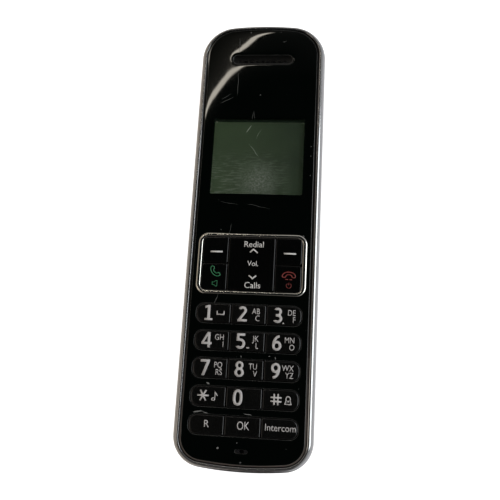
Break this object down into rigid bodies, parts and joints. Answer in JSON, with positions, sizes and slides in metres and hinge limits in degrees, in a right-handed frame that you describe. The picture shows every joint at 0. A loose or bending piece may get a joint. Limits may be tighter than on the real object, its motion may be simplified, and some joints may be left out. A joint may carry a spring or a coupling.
{
  "type": "cordless telephone handset",
  "caption": "Slim cordless telephone handset with a gloss face, display, framed call keys, number keys, earpiece slot and a sliding battery door.",
  "frame": {"origin": "middle of the footprint of the handset lying on its back, on the resting surface", "axes": "+X to the right across the face, +Y towards the earpiece end, +Z out of the gloss face"},
  "size_m": [0.0466, 0.162, 0.0245],
  "materials": {
    "back_plastic": "fine matt texture",
    "silver_paint": "satin silver paint on plastic",
    "inner_plastic": "matt",
    "gloss_black": "high gloss",
    "clear_window": "clear, lightly scratched",
    "grille_plastic": "matt",
    "bright_ring": "bright plated",
    "nav_key_plastic": "gloss",
    "key_plastic": "satin",
    "grey_rubber": "matt",
    "spring_steel": "bright spring",
    "tinned_steel": "tinned",
    "board_laminate": "solder mask",
    "chip_plastic": "moulded",
    "brass_sheet": "sheet",
    "lcd_glass": "grey-green cell",
    "light_guide": "white",
    "ribbon_film": "film",
    "black_foam": "foam",
    "sound_parts": "moulded with a steel cup",
    "cell_sleeve": "printed sleeve without text",
    "plated_brass": "gold-coloured plating"
  },
  "bodies": {
    "handset": {"rear_shell": "back_plastic", "silver_frame": "silver_paint", "front_housing": "inner_plastic", "gloss_plate": "gloss_black", "display_window": "clear_window", "earpiece_grille": "grille_plastic", "nav_ring": "bright_ring", "keypad_mat": "grey_rubber", "snap_domes": "spring_steel", "main_board": "board_laminate", "board_chips": "chip_plastic", "radio_shield": "tinned_steel", "antenna": "brass_sheet", "lcd_glass": "lcd_glass", "lcd_backlight": "light_guide", "lcd_ribbon": "ribbon_film", "display_gasket": "black_foam", "receiver": "sound_parts", "receiver_gasket": "black_foam", "loudspeaker": "sound_parts", "loudspeaker_gasket": "black_foam", "microphone": "tinned_steel", "microphone_boot": "black_foam", "battery_cell_left": "cell_sleeve", "battery_cell_right": "cell_sleeve", "cell_bridge_contact": "spring_steel", "cell_end_contacts": "spring_steel", "charge_contacts": "plated_brass", "case_screws": "tinned_steel"},
    "soft_key_left": {"soft_key_left": "nav_key_plastic"},
    "soft_key_right": {"soft_key_right": "nav_key_plastic"},
    "talk_key": {"talk_key": "nav_key_plastic"},
    "end_key": {"end_key": "nav_key_plastic"},
    "nav_rocker": {"nav_rocker": "nav_key_plastic"},
    "key_1": {"key_1": "key_plastic"},
    "key_2": {"key_2": "key_plastic"},
    "key_3": {"key_3": "key_plastic"},
    "key_4": {"key_4": "key_plastic"},
    "key_5": {"key_5": "key_plastic"},
    "key_6": {"key_6": "key_plastic"},
    "key_7": {"key_7": "key_plastic"},
    "key_8": {"key_8": "key_plastic"},
    "key_9": {"key_9": "key_plastic"},
    "key_star": {"key_star": "key_plastic"},
    "key_0": {"key_0": "key_plastic"},
    "key_hash": {"key_hash": "key_plastic"},
    "recall_key": {"recall_key": "key_plastic"},
    "menu_key": {"menu_key": "key_plastic"},
    "intercom_key": {"intercom_key": "key_plastic"},
    "battery_door": {"battery_door": "back_plastic"}
  },
  "joints": [
    {"name": "soft_key_left_press", "type": "slide", "parent": "handset", "child": "soft_key_left", "axis": [0, 0, -1], "range_m": [0, 0.0005], "stiffness_N_per_m": 800, "springref_m": -0.0003},
    {"name": "soft_key_right_press", "type": "slide", "parent": "handset", "child": "soft_key_right", "axis": [0, 0, -1], "range_m": [0, 0.0005], "stiffness_N_per_m": 800, "springref_m": -0.0003},
    {"name": "talk_key_press", "type": "slide", "parent": "handset", "child": "talk_key", "axis": [0, 0, -1], "range_m": [0, 0.0005], "stiffness_N_per_m": 800, "springref_m": -0.0003},
    {"name": "end_key_press", "type": "slide", "parent": "handset", "child": "end_key", "axis": [0, 0, -1], "range_m": [0, 0.0005], "stiffness_N_per_m": 800, "springref_m": -0.0003},
    {"name": "key_1_press", "type": "slide", "parent": "handset", "child": "key_1", "axis": [0, 0, -1], "range_m": [0, 0.0005], "stiffness_N_per_m": 800, "springref_m": -0.0003},
    {"name": "key_2_press", "type": "slide", "parent": "handset", "child": "key_2", "axis": [0, 0, -1], "range_m": [0, 0.0005], "stiffness_N_per_m": 800, "springref_m": -0.0003},
    {"name": "key_3_press", "type": "slide", "parent": "handset", "child": "key_3", "axis": [0, 0, -1], "range_m": [0, 0.0005], "stiffness_N_per_m": 800, "springref_m": -0.0003},
    {"name": "key_4_press", "type": "slide", "parent": "handset", "child": "key_4", "axis": [0, 0, -1], "range_m": [0, 0.0005], "stiffness_N_per_m": 800, "springref_m": -0.0003},
    {"name": "key_5_press", "type": "slide", "parent": "handset", "child": "key_5", "axis": [0, 0, -1], "range_m": [0, 0.0005], "stiffness_N_per_m": 800, "springref_m": -0.0003},
    {"name": "key_6_press", "type": "slide", "parent": "handset", "child": "key_6", "axis": [0, 0, -1], "range_m": [0, 0.0005], "stiffness_N_per_m": 800, "springref_m": -0.0003},
    {"name": "key_7_press", "type": "slide", "parent": "handset", "child": "key_7", "axis": [0, 0, -1], "range_m": [0, 0.0005], "stiffness_N_per_m": 800, "springref_m": -0.0003},
    {"name": "key_8_press", "type": "slide", "parent": "handset", "child": "key_8", "axis": [0, 0, -1], "range_m": [0, 0.0005], "stiffness_N_per_m": 800, "springref_m": -0.0003},
    {"name": "key_9_press", "type": "slide", "parent": "handset", "child": "key_9", "axis": [0, 0, -1], "range_m": [0, 0.0005], "stiffness_N_per_m": 800, "springref_m": -0.0003},
    {"name": "key_star_press", "type": "slide", "parent": "handset", "child": "key_star", "axis": [0, 0, -1], "range_m": [0, 0.0005], "stiffness_N_per_m": 800, "springref_m": -0.0003},
    {"name": "key_0_press", "type": "slide", "parent": "handset", "child": "key_0", "axis": [0, 0, -1], "range_m": [0, 0.0005], "stiffness_N_per_m": 800, "springref_m": -0.0003},
    {"name": "key_hash_press", "type": "slide", "parent": "handset", "child": "key_hash", "axis": [0, 0, -1], "range_m": [0, 0.0005], "stiffness_N_per_m": 800, "springref_m": -0.0003},
    {"name": "recall_key_press", "type": "slide", "parent": "handset", "child": "recall_key", "axis": [0, 0, -1], "range_m": [0, 0.0005], "stiffness_N_per_m": 800, "springref_m": -0.0003},
    {"name": "menu_key_press", "type": "slide", "parent": "handset", "child": "menu_key", "axis": [0, 0, -1], "range_m": [0, 0.0005], "stiffness_N_per_m": 800, "springref_m": -0.0003},
    {"name": "intercom_key_press", "type": "slide", "parent": "handset", "child": "intercom_key", "axis": [0, 0, -1], "range_m": [0, 0.0005], "stiffness_N_per_m": 800, "springref_m": -0.0003},
    {"name": "nav_rocker_tilt", "type": "hinge", "parent": "handset", "child": "nav_rocker", "pos_m": [0, -0.01235, 0.0204], "axis": [1, 0, 0], "range_deg": [-3, 3], "stiffness_Nm_per_rad": 0.1},
    {"name": "battery_door_slide", "type": "slide", "parent": "handset", "child": "battery_door", "axis": [0, -1, 0], "range_m": [0, 0.075]}
  ]
}
